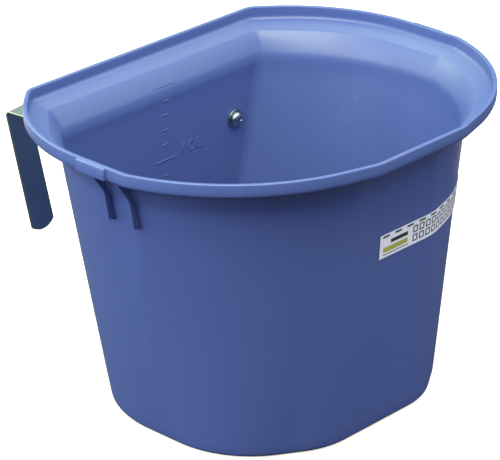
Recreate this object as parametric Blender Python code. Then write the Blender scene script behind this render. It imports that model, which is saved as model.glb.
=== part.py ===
"""Hanging feed bucket: a moulded plastic tub that hangs by two steel hooks.

Frame: X runs along the flat back, +Y points behind the tub (to the rail that it hangs on), +Z is up.
The origin is on the underside of the tub, in the middle of its flat bottom. Metres.
Plan sizes are given as a distance forward of the rim's straight back edge.
"""
import math

import bmesh
import bpy
from mathutils import Matrix, Vector

# Sizes of the tub as a whole
RIM_WIDTH = 0.400
RIM_DEPTH = 0.3105
TUB_HEIGHT = 0.2613
BASE_WIDTH = 0.273
BASE_FRONT = 0.269
WALL = 0.003
FLOOR = 0.0035

# Flange: how far the rim stands out past the wall, and how deep its curve runs
FLANGE_BACK = 0.0215
FLANGE_SIDE = 0.0229
FLANGE_FRONT = 0.0273
FLANGE_DROP = 0.041
FLANGE_ROOT_THICKNESS = 0.0024

# Lip: the upright band round the rim
LIP_HEIGHT = 0.011
LIP_DEPTH_INSIDE = 0.0103
LIP_THICKNESS = 0.0045
LIP_ROUND = 0.0012

# Plan of the rim: its corners, and the length that each rounding takes along its sides
RIM_BACK_FLAT = 0.2634
RIM_SIDE_BACK = 0.0587
RIM_SIDE_FRONT = 0.1808
RIM_CHEEK_IN = 0.0291
RIM_CHEEK_SETBACK = 0.0347
RIM_FRONT_FLAT = 0.1016
RIM_ROUNDING = (0.006, 0.071, 0.003, 0.095, 0.006)

# Plan of the wall where it leaves the flange
WALL_BACK_FLAT = 0.240
WALL_SIDE_BACK = 0.096
WALL_SIDE_FRONT = 0.1716
WALL_CHEEK_IN = 0.0291
WALL_CHEEK_SETBACK = 0.0229
WALL_FRONT_FLAT = 0.0944
WALL_ROUNDING = (0.008, 0.046, 0.005, 0.0865, 0.006)

# Plan of the base
BASE_BACK_FLAT = 0.144
BASE_SIDE_BACK = 0.1023
BASE_SIDE_FRONT = 0.150
BASE_CHEEK_SETBACK = 0.0485
BASE_FRONT_FLAT = 0.121
BASE_ROUNDING = (0.006, 0.0355, 0.006, 0.0468, 0.0205)
BASE_EDGE_RADIUS = 0.004
FLOOR_EDGE_RADIUS = 0.006

# Steps along each of the five roundings of one half of the plan, back to front
ROUNDING_STEPS = (2, 6, 2, 8, 3)

# Pads on the lip and ribs under it, one set on each side
PAD_LENGTH = 0.0315
PAD_PROUD = 0.0025
PAD_FORWARD = 0.1459
PAD_TOP_DROP = 0.0008
RIB_THICKNESS = 0.002
RIB_SPACING = 0.0275
RIB_FORWARD = 0.1577
RIB_PROUD = 0.0074
RIB_BOTTOM_DROP = 0.0576
RIB_BOTTOM_RISE = 0.003
RIB_TURN_DROP = 0.029
RIB_TURN_RADIUS = 0.008

# Litre marks on the inside of the back wall
MARK_PROUD = 0.0005
MARK_LINE = 0.0012
MARK_SHORT = 0.0075
MARK_LONG = 0.0255
MARK_X = 0.003
MARK_LITRES = range(1, 16)
MARK_LONG_EVERY = 5
CUBIC_METRES_PER_LITRE = 0.001

# Hooks: bent from flat steel strip. The left one hangs turned a little on its screw.
STRIP_WIDTH = 0.025
STRIP_THICKNESS = 0.002
BEND_RADIUS = 0.003
HOOK_FROM_CORNER = 0.03225
HOOK_TOP_FALL = math.radians(3.8)
HOOK_LEG_LEAN = math.radians(8.9)
HOOK_REACH = 0.0583
HOOK_BEND_DROP = 0.0426
HOOK_LEG_LENGTH = 0.1122
HOOK_END_SAGITTA = 0.0054
HOOK_TAIL = 0.015
LEFT_HOOK_TURN = math.radians(-5.6)
RIGHT_HOOK_TURN = 0.0

# Fixings: M6 screw, washers and nut
SCREW_DROP = 0.0852
SCREW_DIAMETER = 0.006
SCREW_POINT = 0.0025
HEAD_DIAMETER = 0.0125
HEAD_HEIGHT = 0.0046
HEAD_CROWN_DIAMETER = 0.0038
HEAD_BAND_HEIGHT = 0.0012
RECESS_DEPTH = 0.0022
RECESS_WIDTH = 0.0011
RECESS_SPAN = 0.0060
HEAD_WASHER_DIAMETER = 0.018
NUT_WASHER_DIAMETER = 0.0125
WASHER_THICKNESS = 0.0016
NUT_ACROSS_FLATS = 0.010
NUT_HEIGHT = 0.005
NUT_COLLAR_HEIGHT = 0.002
HOLE_CLEARANCE = 0.0003
FACE_GAP = 0.0003

# Label: a plain sticker that wraps the front right corner
LABEL_HEIGHT = 0.0208
LABEL_TOP_DROP = 0.0828
LABEL_START_X = -0.0153
LABEL_LENGTH = 0.150
LABEL_THICKNESS = 0.0003
LABEL_GAP = 0.0004

# Values worked out from the sizes above
BASE_BACK = FLANGE_BACK
MIDDLE = (BASE_BACK + BASE_FRONT) / 2
BACK_EDGE_Y = MIDDLE
WALL_TOP_Z = TUB_HEIGHT - FLANGE_DROP
BACK_FACE_Y = BACK_EDGE_Y - FLANGE_BACK
SCREW_X = WALL_BACK_FLAT / 2 - HOOK_FROM_CORNER
LIP_ROOT_Z = TUB_HEIGHT - LIP_DEPTH_INSIDE
SCREW_Z = TUB_HEIGHT - SCREW_DROP


def rim_plan():
    """Corners of the rim's outer edge on the +X side: (x, distance forward, rounding)."""
    half = RIM_WIDTH / 2
    points = [
        (RIM_BACK_FLAT / 2, 0.0),
        (half, RIM_SIDE_BACK),
        (half, RIM_SIDE_FRONT),
        (half - RIM_CHEEK_IN, RIM_DEPTH - RIM_CHEEK_SETBACK),
        (RIM_FRONT_FLAT / 2, RIM_DEPTH),
    ]
    return [(x, y, r) for (x, y), r in zip(points, RIM_ROUNDING)]


def wall_top_plan():
    """Corners of the wall's outer face where it leaves the flange."""
    half = RIM_WIDTH / 2 - FLANGE_SIDE
    front = RIM_DEPTH - FLANGE_FRONT
    points = [
        (WALL_BACK_FLAT / 2, FLANGE_BACK),
        (half, WALL_SIDE_BACK),
        (half, WALL_SIDE_FRONT),
        (half - WALL_CHEEK_IN, front - WALL_CHEEK_SETBACK),
        (WALL_FRONT_FLAT / 2, front),
    ]
    return [(x, y, r) for (x, y), r in zip(points, WALL_ROUNDING)]


def base_plan():
    """Corners of the wall's outer face carried down to the underside of the base."""
    half = BASE_WIDTH / 2
    points = [
        (BASE_BACK_FLAT / 2, BASE_BACK),
        (half, BASE_SIDE_BACK),
        (half, BASE_SIDE_FRONT),
        (half, BASE_FRONT - BASE_CHEEK_SETBACK),
        (BASE_FRONT_FLAT / 2, BASE_FRONT),
    ]
    return [(x, y, r) for (x, y), r in zip(points, BASE_ROUNDING)]


def blend_plan(first, second, share):
    """Plan that lies between two others: share 0 is the first, 1 is the second."""
    return [
        tuple(a + (b - a) * share for a, b in zip(p, q))
        for p, q in zip(first, second)
    ]


def inset_plan(plan, distance):
    """Plan moved inward by a distance, square to each of its sides, with its roundings to match."""
    first, last = plan[0], plan[-1]
    line = [Vector((-first[0], first[1]))]
    line += [Vector((x, y)) for x, y, _ in plan]
    line += [Vector((-last[0], last[1]))]
    result = []
    for before, here, after, corner in zip(line, line[1:], line[2:], plan):
        into = (here - before).normalized()
        away = (after - here).normalized()
        normal_in = Vector((-into.y, into.x))
        normal_out = Vector((-away.y, away.x))
        shift = (normal_in + normal_out) / (1 + normal_in.dot(normal_out))
        moved = here + shift * distance
        shortening = distance * math.tan(into.angle(away) / 2)
        result.append((moved.x, moved.y, corner[2] ** 2 / (corner[2] + shortening)))
    return result


def fit_roundings(corners, lengths):
    """Rounding lengths, shortened where two neighbours would leave no straight between them."""
    spans = [(b - a).length for a, b in zip(corners, corners[1:])]
    spans = [2 * corners[0].x] + spans + [2 * corners[-1].x]
    needs = [2 * lengths[0]] + [a + b for a, b in zip(lengths, lengths[1:])] + [2 * lengths[-1]]
    shares = [min(1.0, (span - LIP_ROUND) / need) for span, need in zip(spans, needs)]
    return [length * min(a, b) for length, a, b in zip(lengths, shares, shares[1:])]


def ring_points(plan):
    """Closed plan outline as (x, y) points in the part's frame, mirrored about the middle."""
    corners = [Vector((x, y)) for x, y, _ in plan]
    first, last = corners[0], corners[-1]
    chain = [Vector((-first.x, first.y))] + corners + [Vector((-last.x, last.y))]
    half = []
    for i, length in enumerate(fit_roundings(corners, [r for _, _, r in plan])):
        before, here, after = chain[i], chain[i + 1], chain[i + 2]
        start = here + (before - here).normalized() * length
        end = here + (after - here).normalized() * length
        turn = (here - before).angle(after - here)
        weight = math.cos(turn / 2)
        steps = ROUNDING_STEPS[i]
        for k in range(steps + 1):
            t = k / steps
            a, b, c = (1 - t) ** 2, 2 * t * (1 - t) * weight, t ** 2
            point = (start * a + here * b + end * c) / (a + b + c)
            half.append((point.x, BACK_EDGE_Y - point.y))
    return half + [(-x, y) for x, y in reversed(half)]


def ring(plan, z):
    """Closed plan outline at a height."""
    return [Vector((x, y, z)) for x, y in ring_points(plan)]


def wall_plan(z):
    """Plan of the wall's outer face at a height."""
    return blend_plan(wall_top_plan(), base_plan(), 1 - z / WALL_TOP_Z)


def flange_profile(root_z):
    """Flange section as (share of the way from the lip to the wall, height), from a height at the lip.

    The first part slopes gently, a small step follows, and then it turns down into the wall."""
    shares = (0.03, 0.20, 0.40, 0.57, 0.61, 0.70, 0.80, 0.89, 0.95, 0.985)
    falls = (0.008, 0.062, 0.130, 0.190, 0.232, 0.335, 0.480, 0.630, 0.740, 0.870)
    return [(share, root_z + (WALL_TOP_Z - root_z) * fall) for share, fall in zip(shares, falls)]


def tub_rings():
    """Rings of the tub's skin, from the underside, up the outside, over the lip and down the inside."""
    rim = rim_plan()
    top = wall_top_plan()
    lip_foot = TUB_HEIGHT - LIP_HEIGHT
    rings = []
    for angle in (0.0, 0.5, 1.0):
        turn = angle * math.pi / 2
        z = BASE_EDGE_RADIUS * (1 - math.cos(turn))
        rings.append(ring(inset_plan(wall_plan(z), BASE_EDGE_RADIUS * (1 - math.sin(turn))), z))
    for share in (0.25, 0.5, 0.75, 1.0):
        z = BASE_EDGE_RADIUS + (WALL_TOP_Z - BASE_EDGE_RADIUS) * share
        rings.append(ring(wall_plan(z), z))
    lip_inside = inset_plan(rim, LIP_THICKNESS)
    for share, z in reversed(flange_profile(LIP_ROOT_Z - FLANGE_ROOT_THICKNESS)):
        rings.append(ring(blend_plan(lip_inside, top, share), z))
    rings.append(ring(inset_plan(rim, LIP_ROUND), lip_foot))
    rings.append(ring(rim, lip_foot + LIP_ROUND))
    rings.append(ring(rim, TUB_HEIGHT - LIP_ROUND))
    rings.append(ring(inset_plan(rim, LIP_ROUND), TUB_HEIGHT))
    rings.append(ring(inset_plan(rim, LIP_THICKNESS - LIP_ROUND), TUB_HEIGHT))
    rings.append(ring(lip_inside, TUB_HEIGHT - LIP_ROUND))
    rings.append(ring(lip_inside, LIP_ROOT_Z))
    wall_inside = inset_plan(top, WALL)
    for share, z in flange_profile(LIP_ROOT_Z):
        rings.append(ring(blend_plan(lip_inside, wall_inside, share), z))
    rings.append(ring(wall_inside, WALL_TOP_Z))
    low = FLOOR + FLOOR_EDGE_RADIUS
    for share in (0.75, 0.5, 0.25, 0.0):
        z = low + (WALL_TOP_Z - low) * share
        rings.append(ring(inset_plan(wall_plan(z), WALL), z))
    for angle in (0.5, 1.0):
        turn = angle * math.pi / 2
        z = low - FLOOR_EDGE_RADIUS * math.sin(turn)
        inward = WALL + FLOOR_EDGE_RADIUS * (1 - math.cos(turn))
        rings.append(ring(inset_plan(wall_plan(z), inward), z))
    return rings


def add_object(name, bm, material=None, location=(0, 0, 0)):
    """Object made from a bmesh, shaded smooth except at sharp edges."""
    bmesh.ops.recalc_face_normals(bm, faces=bm.faces)
    mesh = bpy.data.meshes.new(name)
    bm.to_mesh(mesh)
    bm.free()
    mesh.shade_smooth()
    mesh.set_sharp_from_angle(angle=math.radians(30))
    obj = bpy.data.objects.new(name, mesh)
    obj.location = location
    if material is not None:
        mesh.materials.append(material)
    bpy.context.scene.collection.objects.link(obj)
    return obj


def hide_tool(obj):
    """Marks a shape that only cuts or joins another."""
    obj.hide_render = True
    obj.display_type = "WIRE"


def add_boolean(obj, tool, operation):
    """Boolean modifier with the exact solver."""
    modifier = obj.modifiers.new(operation.title(), "BOOLEAN")
    modifier.operation = operation
    modifier.solver = "EXACT"
    modifier.object = tool
    modifier.show_render = modifier.show_viewport


def make_material(name, colour, roughness, metallic):
    """Principled material."""
    material = bpy.data.materials.new(name)
    material.use_nodes = True
    shader = material.node_tree.nodes["Principled BSDF"]
    shader.inputs["Base Color"].default_value = (*colour, 1.0)
    shader.inputs["Roughness"].default_value = roughness
    shader.inputs["Metallic"].default_value = metallic
    return material


def bridge(bm, lower, upper):
    """Wall of four-sided faces between two rings of vertices."""
    count = len(lower)
    for i in range(count):
        j = (i + 1) % count
        bm.faces.new((lower[i], lower[j], upper[j], upper[i]))


def add_box(bm, low, high):
    """Box between two corners."""
    x0, y0, z0 = low
    x1, y1, z1 = high
    bottom = [bm.verts.new(p) for p in ((x0, y0, z0), (x1, y0, z0), (x1, y1, z0), (x0, y1, z0))]
    top = [bm.verts.new(p) for p in ((x0, y0, z1), (x1, y0, z1), (x1, y1, z1), (x0, y1, z1))]
    bridge(bm, bottom, top)
    bm.faces.new(bottom[::-1])
    bm.faces.new(top)


def add_turned(bm, profile, steps, centre_y=0.0):
    """Solid of revolution about the Y axis from (radius, y) points, both ends closed."""
    rings = []
    for radius, y in profile:
        circle = []
        for k in range(steps):
            angle = 2 * math.pi * k / steps
            circle.append(bm.verts.new((radius * math.cos(angle), centre_y + y, radius * math.sin(angle))))
        rings.append(circle)
    for lower, upper in zip(rings, rings[1:]):
        bridge(bm, lower, upper)
    bm.faces.new(rings[0][::-1])
    bm.faces.new(rings[-1])


def side_face_x(z):
    """Half width of the wall's outer face at a height."""
    return wall_plan(z)[2][0]


def add_rib(bm, side, forward):
    """Thin gusset that runs down the side wall, then turns out to the foot of the lip."""
    y_middle = BACK_EDGE_Y - forward
    foot_z = TUB_HEIGHT - RIB_BOTTOM_DROP
    turn_z = TUB_HEIGHT - RIB_TURN_DROP
    lip_z = TUB_HEIGHT - LIP_HEIGHT
    lip_x = RIM_WIDTH / 2 - LIP_ROUND
    root_x = RIM_WIDTH / 2 - LIP_THICKNESS
    root_z = LIP_ROOT_Z - FLANGE_ROOT_THICKNESS
    wall_x = wall_top_plan()[2][0]
    sunk = WALL / 2
    wall_lean = (wall_x - side_face_x(foot_z)) / (WALL_TOP_Z - foot_z)
    foot = Vector((side_face_x(foot_z) + RIB_PROUD, foot_z + RIB_BOTTOM_RISE))
    turn = Vector((foot.x + wall_lean * (turn_z - foot.y), turn_z))
    tip = Vector((lip_x, lip_z - LIP_ROUND))
    outline = [(side_face_x(foot_z) - sunk, foot_z), tuple(foot)]
    start = turn + (foot - turn).normalized() * RIB_TURN_RADIUS / 2
    end = turn + (tip - turn).normalized() * RIB_TURN_RADIUS / 2
    steps = 4
    for k in range(steps + 1):
        t = k / steps
        point = start * (1 - t) ** 2 + turn * 2 * t * (1 - t) + end * t ** 2
        outline.append(tuple(point))
    outline.append(tuple(tip))
    outline.append((lip_x, lip_z + LIP_ROUND))
    outline.append((root_x, lip_z + LIP_ROUND))
    inner_share, inner_z = flange_profile(root_z)[3]
    outline.append((root_x + (wall_x - root_x) * inner_share, inner_z + sunk))
    outline.append((wall_x - sunk, WALL_TOP_Z))
    halves = []
    for y in (y_middle - RIB_THICKNESS / 2, y_middle + RIB_THICKNESS / 2):
        halves.append([bm.verts.new((side * x, y, z)) for x, z in outline])
    bridge(bm, halves[0], halves[1])
    bm.faces.new(halves[0][::-1])
    bm.faces.new(halves[1])


def plan_area(plan):
    """Area inside a plan outline."""
    points = ring_points(plan)
    total = 0.0
    for (x0, y0), (x1, y1) in zip(points, points[1:] + points[:1]):
        total += x0 * y1 - x1 * y0
    return abs(total) / 2


def inside_plan(z):
    """Plan of the inside face at a height, on the wall or on the flange."""
    if z <= WALL_TOP_Z:
        return inset_plan(wall_plan(z), WALL)
    lip_inside = inset_plan(rim_plan(), LIP_THICKNESS)
    wall_inside = inset_plan(wall_top_plan(), WALL)
    section = [(0.0, LIP_ROOT_Z)] + flange_profile(LIP_ROOT_Z) + [(1.0, WALL_TOP_Z)]
    for (share_above, above), (share_below, below) in zip(section, section[1:]):
        if below <= z <= above:
            share = share_below + (share_above - share_below) * (z - below) / (above - below)
            return blend_plan(lip_inside, wall_inside, share)
    return lip_inside


def litre_heights():
    """Height of each whole litre on the inside, from the tub's own area."""
    heights = {}
    step = 0.0005
    volume = 0.0
    z = FLOOR
    while z < LIP_ROOT_Z:
        before = volume
        volume += plan_area(inside_plan(z + step / 2)) * step
        for litres in MARK_LITRES:
            wanted = litres * CUBIC_METRES_PER_LITRE
            if before < wanted <= volume:
                heights[litres] = z + step * (wanted - before) / (volume - before)
        z += step
    return heights


def make_tub(material):
    """Tub in one moulding, with its lip, flange, pads, ribs and litre marks."""
    bm = bmesh.new()
    loops = [[bm.verts.new(p) for p in points] for points in tub_rings()]
    for lower, upper in zip(loops, loops[1:]):
        bridge(bm, lower, upper)
    bm.faces.new(loops[0][::-1])
    bm.faces.new(loops[-1])
    tub = add_object("tub", bm, material)

    bm = bmesh.new()
    pad_y = BACK_EDGE_Y - PAD_FORWARD
    lip_x = RIM_WIDTH / 2
    for side in (-1, 1):
        near, far = sorted((side * (lip_x - LIP_THICKNESS / 2), side * (lip_x + PAD_PROUD)))
        low = (near, pad_y - PAD_LENGTH / 2, TUB_HEIGHT - LIP_HEIGHT + LIP_ROUND / 2)
        high = (far, pad_y + PAD_LENGTH / 2, TUB_HEIGHT - PAD_TOP_DROP)
        add_box(bm, low, high)
        for offset in (-RIB_SPACING / 2, RIB_SPACING / 2):
            add_rib(bm, side, RIB_FORWARD + offset)
    for litres, z in litre_heights().items():
        length = MARK_LONG if litres % MARK_LONG_EVERY == 0 else MARK_SHORT
        inner_face = BACK_EDGE_Y - inside_plan(z)[0][1]
        low = (MARK_X - length / 2, inner_face - MARK_PROUD, z - MARK_LINE / 2)
        high = (MARK_X + length / 2, inner_face + WALL / 2, z + MARK_LINE / 2)
        add_box(bm, low, high)
    added = add_object("tub_pads_ribs_and_marks", bm)
    hide_tool(added)
    add_boolean(tub, added, "UNION")

    bm = bmesh.new()
    for side in (-1, 1):
        start = len(bm.verts)
        radius = SCREW_DIAMETER / 2 + HOLE_CLEARANCE
        add_turned(bm, [(radius, -WALL * 2), (radius, WALL)], 24)
        bm.verts.ensure_lookup_table()
        move = Vector((side * SCREW_X, BACK_FACE_Y, SCREW_Z))
        bmesh.ops.translate(bm, verts=bm.verts[start:], vec=move)
    holes = add_object("tub_screw_holes", bm)
    hide_tool(holes)
    add_boolean(tub, holes, "DIFFERENCE")
    return tub


def hook_path():
    """Middle line of the hook's strip in (y, z), from its foot up, over and down the leg.

    Each entry is a point, the direction of travel there, and how the strip's end bulges along it."""
    half = STRIP_THICKNESS / 2
    riser_y = BACK_FACE_Y + FACE_GAP + half
    middle_radius = BEND_RADIUS + half
    top_direction = Vector((math.cos(HOOK_TOP_FALL), -math.sin(HOOK_TOP_FALL)))
    leg_direction = Vector((-math.sin(HOOK_LEG_LEAN), -math.cos(HOOK_LEG_LEAN)))
    outer_corner = Vector((BACK_EDGE_Y + HOOK_REACH, TUB_HEIGHT - HOOK_BEND_DROP))
    top_normal = Vector((-top_direction.y, top_direction.x))
    leg_normal = Vector((-leg_direction.y, leg_direction.x))
    back_corner = outer_corner - (top_normal + leg_normal) * half / (1 + top_normal.dot(leg_normal))
    run = (back_corner.x - riser_y) / top_direction.x
    front_corner = back_corner - top_direction * run
    foot = Vector((riser_y, SCREW_Z - HOOK_TAIL))
    end = back_corner + leg_direction * HOOK_LEG_LENGTH
    path = [(foot, Vector((0, 1)), -1)]
    corners = ((foot, front_corner, back_corner), (front_corner, back_corner, end))
    for before, here, after in corners:
        into = (here - before).normalized()
        away = (after - here).normalized()
        turn = into.angle(away)
        cut = middle_radius * math.tan(turn / 2)
        right = Vector((into.y, -into.x))
        centre = here - into * cut + right * middle_radius
        steps = 5
        for k in range(steps + 1):
            angle = turn * k / steps
            outward = -right * math.cos(angle) + into * math.sin(angle)
            direction = into * math.cos(angle) + right * math.sin(angle)
            path.append((centre + outward * middle_radius, direction, 0))
    path.append((end, (end - back_corner).normalized(), 1))
    return path


def make_hook(name, x, turn, material, tool_name):
    """Hook bent from flat strip, turned on its screw, with rounded ends and a hole for the screw."""
    path = hook_path()
    columns = 8
    radius = (STRIP_WIDTH ** 2 / 4 + HOOK_END_SAGITTA ** 2) / (2 * HOOK_END_SAGITTA)
    bm = bmesh.new()
    front, back = [], []
    pivot = Vector((x, BACK_FACE_Y + FACE_GAP + STRIP_THICKNESS / 2, SCREW_Z))
    swing = Matrix.Rotation(turn, 3, "Y")
    for point, direction, bulge in path:
        side_step = Vector((-direction.y, direction.x)) * STRIP_THICKNESS / 2
        row_front, row_back = [], []
        for k in range(columns + 1):
            across = STRIP_WIDTH * (k / columns - 0.5)
            extra = math.sqrt(radius ** 2 - across ** 2) - radius
            here = point + direction * extra * bulge
            for row, place in ((row_front, here + side_step), (row_back, here - side_step)):
                local = Vector((across, place.x - pivot.y, place.y - pivot.z))
                row.append(bm.verts.new(swing @ local))
        front.append(row_front)
        back.append(row_back)
    for i in range(len(path) - 1):
        for k in range(columns):
            bm.faces.new((front[i][k], front[i][k + 1], front[i + 1][k + 1], front[i + 1][k]))
            bm.faces.new((back[i][k], back[i + 1][k], back[i + 1][k + 1], back[i][k + 1]))
        bm.faces.new((front[i][0], front[i + 1][0], back[i + 1][0], back[i][0]))
        bm.faces.new((front[i][-1], back[i][-1], back[i + 1][-1], front[i + 1][-1]))
    for i in (0, -1):
        for k in range(columns):
            bm.faces.new((front[i][k], back[i][k], back[i][k + 1], front[i][k + 1]))
    hook = add_object(name, bm, material, pivot)

    bm = bmesh.new()
    hole = SCREW_DIAMETER / 2 + HOLE_CLEARANCE
    add_turned(bm, [(hole, -STRIP_THICKNESS), (hole, STRIP_THICKNESS)], 24)
    tool = add_object(tool_name, bm, None, pivot)
    hide_tool(tool)
    add_boolean(hook, tool, "DIFFERENCE")
    return hook


def make_screw(name, x, material, tool_name):
    """Pan head screw with a cross recess; its head is inside the tub."""
    washer_y = BACK_FACE_Y - WALL - FACE_GAP - WASHER_THICKNESS
    seat = washer_y - FACE_GAP
    nut_start = BACK_FACE_Y + FACE_GAP * 3 + STRIP_THICKNESS + WASHER_THICKNESS
    length = nut_start + NUT_HEIGHT + NUT_COLLAR_HEIGHT + SCREW_POINT - seat
    head = HEAD_DIAMETER / 2
    shank = SCREW_DIAMETER / 2
    crown = HEAD_CROWN_DIAMETER / 2
    profile = [(crown, -HEAD_HEIGHT)]
    for angle in (25, 50, 75, 90):
        turn = math.radians(angle)
        radius = crown + (head - crown) * math.sin(turn)
        profile.append((radius, -HEAD_BAND_HEIGHT - (HEAD_HEIGHT - HEAD_BAND_HEIGHT) * math.cos(turn)))
    profile.append((head, 0.0))
    profile.append((shank, 0.0))
    profile.append((shank, length - shank * 0.2))
    profile.append((shank * 0.8, length))
    bm = bmesh.new()
    add_turned(bm, profile, 24)
    screw = add_object(name, bm, material, (x, seat, SCREW_Z))

    bm = bmesh.new()
    half_span, half_width = RECESS_SPAN / 2, RECESS_WIDTH / 2
    outline = [
        (-half_width, -half_span), (half_width, -half_span), (half_width, -half_width),
        (half_span, -half_width), (half_span, half_width), (half_width, half_width),
        (half_width, half_span), (-half_width, half_span), (-half_width, half_width),
        (-half_span, half_width), (-half_span, -half_width), (-half_width, -half_width),
    ]
    ends = []
    for y, scale in ((-HEAD_HEIGHT * 1.2, 1.0), (-HEAD_HEIGHT + RECESS_DEPTH, 0.7)):
        ends.append([bm.verts.new((px * scale, y, pz * scale)) for px, pz in outline])
    bridge(bm, ends[0], ends[1])
    bm.faces.new(ends[0][::-1])
    bm.faces.new(ends[1])
    tool = add_object(tool_name, bm, None, (x, seat, SCREW_Z))
    hide_tool(tool)
    add_boolean(screw, tool, "DIFFERENCE")
    return screw


def make_ring_solid(name, place, outer, height, material, steps=32):
    """Flat washer with a bore that clears the screw."""
    bore = SCREW_DIAMETER / 2 + HOLE_CLEARANCE
    bm = bmesh.new()
    loops = []
    for radius, y in ((bore, 0.0), (outer, 0.0), (outer, height), (bore, height)):
        circle = []
        for k in range(steps):
            angle = 2 * math.pi * k / steps
            circle.append(bm.verts.new((radius * math.cos(angle), y, radius * math.sin(angle))))
        loops.append(circle)
    for i in range(4):
        bridge(bm, loops[i], loops[(i + 1) % 4])
    return add_object(name, bm, material, place)


def make_nut(name, place, material):
    """Hexagon lock nut with a round collar that holds its friction ring."""
    bore = SCREW_DIAMETER / 2 + HOLE_CLEARANCE
    sides = 6
    steps = sides * 4
    flat = NUT_ACROSS_FLATS / 2
    bm = bmesh.new()

    def circle(radius_at, y):
        points = []
        for k in range(steps):
            angle = 2 * math.pi * k / steps
            radius = radius_at(angle)
            points.append(bm.verts.new((radius * math.cos(angle), y, radius * math.sin(angle))))
        return points

    def hexagon(angle):
        inside = angle % (2 * math.pi / sides) - math.pi / sides
        return flat / math.cos(inside)

    collar = flat * 0.92
    loops = [
        circle(lambda a: bore, 0.0),
        circle(hexagon, 0.0),
        circle(hexagon, NUT_HEIGHT),
        circle(lambda a: collar, NUT_HEIGHT + NUT_COLLAR_HEIGHT * 0.3),
        circle(lambda a: collar, NUT_HEIGHT + NUT_COLLAR_HEIGHT * 0.8),
        circle(lambda a: collar * 0.85, NUT_HEIGHT + NUT_COLLAR_HEIGHT),
        circle(lambda a: bore, NUT_HEIGHT + NUT_COLLAR_HEIGHT),
    ]
    for i in range(len(loops)):
        bridge(bm, loops[i], loops[(i + 1) % len(loops)])
    return add_object(name, bm, material, place)


def label_line(z, outward):
    """Line along the wall that the label follows at a height, from its left end."""
    points = ring_points(inset_plan(wall_plan(z), -outward))
    front = [Vector(p) for p in points[:len(points) // 2]]
    front.reverse()
    y_front = front[0].y
    line = [Vector((LABEL_START_X, y_front))] + [p for p in front if p.x > LABEL_START_X]
    result = [line[0]]
    left = LABEL_LENGTH
    for a, b in zip(line, line[1:]):
        step = (b - a).length
        if step >= left:
            result.append(a + (b - a) * (left / step))
            break
        result.append(b)
        left -= step
    return [Vector((p.x, p.y, z)) for p in result]


def make_label(material):
    """Plain sticker that lies on the wall and wraps the front right corner."""
    top = TUB_HEIGHT - LABEL_TOP_DROP
    bottom = top - LABEL_HEIGHT
    lines = [
        label_line(bottom, LABEL_GAP),
        label_line(bottom, LABEL_GAP + LABEL_THICKNESS),
        label_line(top, LABEL_GAP + LABEL_THICKNESS),
        label_line(top, LABEL_GAP),
    ]
    count = min(len(line) for line in lines)
    bm = bmesh.new()
    rows = [[bm.verts.new(line[k]) for line in lines] for k in range(count)]
    for a, b in zip(rows, rows[1:]):
        bridge(bm, a, b)
    bm.faces.new(rows[0][::-1])
    bm.faces.new(rows[-1])
    return add_object("label", bm, material)


def main():
    """Builds every piece of the bucket."""
    for obj in list(bpy.data.objects):
        bpy.data.objects.remove(obj, do_unlink=True)
    plastic = make_material("blue_polypropylene", (0.058, 0.092, 0.305), 0.38, 0.0)
    zinc = make_material("zinc_plated_strip", (0.30, 0.32, 0.35), 0.42, 1.0)
    bright = make_material("zinc_plated_fixing", (0.55, 0.56, 0.58), 0.30, 1.0)
    paper = make_material("white_label_film", (0.72, 0.72, 0.80), 0.45, 0.0)
    make_tub(plastic)
    washer_seat = BACK_FACE_Y - WALL - FACE_GAP - WASHER_THICKNESS
    outer_seat = BACK_FACE_Y + FACE_GAP * 2 + STRIP_THICKNESS
    nut_seat = outer_seat + WASHER_THICKNESS + FACE_GAP
    hangers = (
        ("left", -SCREW_X, LEFT_HOOK_TURN),
        ("right", SCREW_X, RIGHT_HOOK_TURN),
    )
    for side, x, turn in hangers:
        make_hook(side + "_hook", x, turn, zinc, side + "_hook_hole")
        make_screw(side + "_screw", x, bright, side + "_screw_recess")
        place = (x, washer_seat, SCREW_Z)
        make_ring_solid(side + "_head_washer", place, HEAD_WASHER_DIAMETER / 2, WASHER_THICKNESS, bright)
        place = (x, outer_seat, SCREW_Z)
        make_ring_solid(side + "_nut_washer", place, NUT_WASHER_DIAMETER / 2, WASHER_THICKNESS, bright)
        make_nut(side + "_nut", (x, nut_seat, SCREW_Z), bright)
    make_label(paper)


main()
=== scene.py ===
# %% [markdown]
# # A hanging feed bucket
#
# This is a moulded plastic tub with one flat side. Two hooks of flat steel strip, each held by one screw,
# hang it over a rail in a stable or on a fence. The frame below brings in the plain solids, at their real
# size and place. This script gives them their finish: smooth moulded skin, plated steel and a printed
# label. Everything is in metres, so 0.003 is 3 mm.

# %% Load the frame
import math

import bmesh
import bpy
from mathutils import Matrix, Vector


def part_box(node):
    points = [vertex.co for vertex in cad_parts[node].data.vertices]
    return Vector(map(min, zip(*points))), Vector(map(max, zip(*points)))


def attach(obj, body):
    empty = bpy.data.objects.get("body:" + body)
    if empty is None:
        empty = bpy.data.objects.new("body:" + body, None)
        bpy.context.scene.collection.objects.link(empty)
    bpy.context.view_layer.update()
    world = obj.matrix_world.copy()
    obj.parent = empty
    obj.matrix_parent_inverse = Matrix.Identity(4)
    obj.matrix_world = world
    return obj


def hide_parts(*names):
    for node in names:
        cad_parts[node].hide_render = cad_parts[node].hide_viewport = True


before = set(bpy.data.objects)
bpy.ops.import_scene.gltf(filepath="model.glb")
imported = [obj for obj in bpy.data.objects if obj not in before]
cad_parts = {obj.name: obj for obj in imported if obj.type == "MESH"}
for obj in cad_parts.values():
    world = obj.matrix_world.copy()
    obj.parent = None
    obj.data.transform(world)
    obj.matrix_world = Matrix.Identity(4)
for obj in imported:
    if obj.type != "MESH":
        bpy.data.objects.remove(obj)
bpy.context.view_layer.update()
print("nodes:", list(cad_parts))

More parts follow.
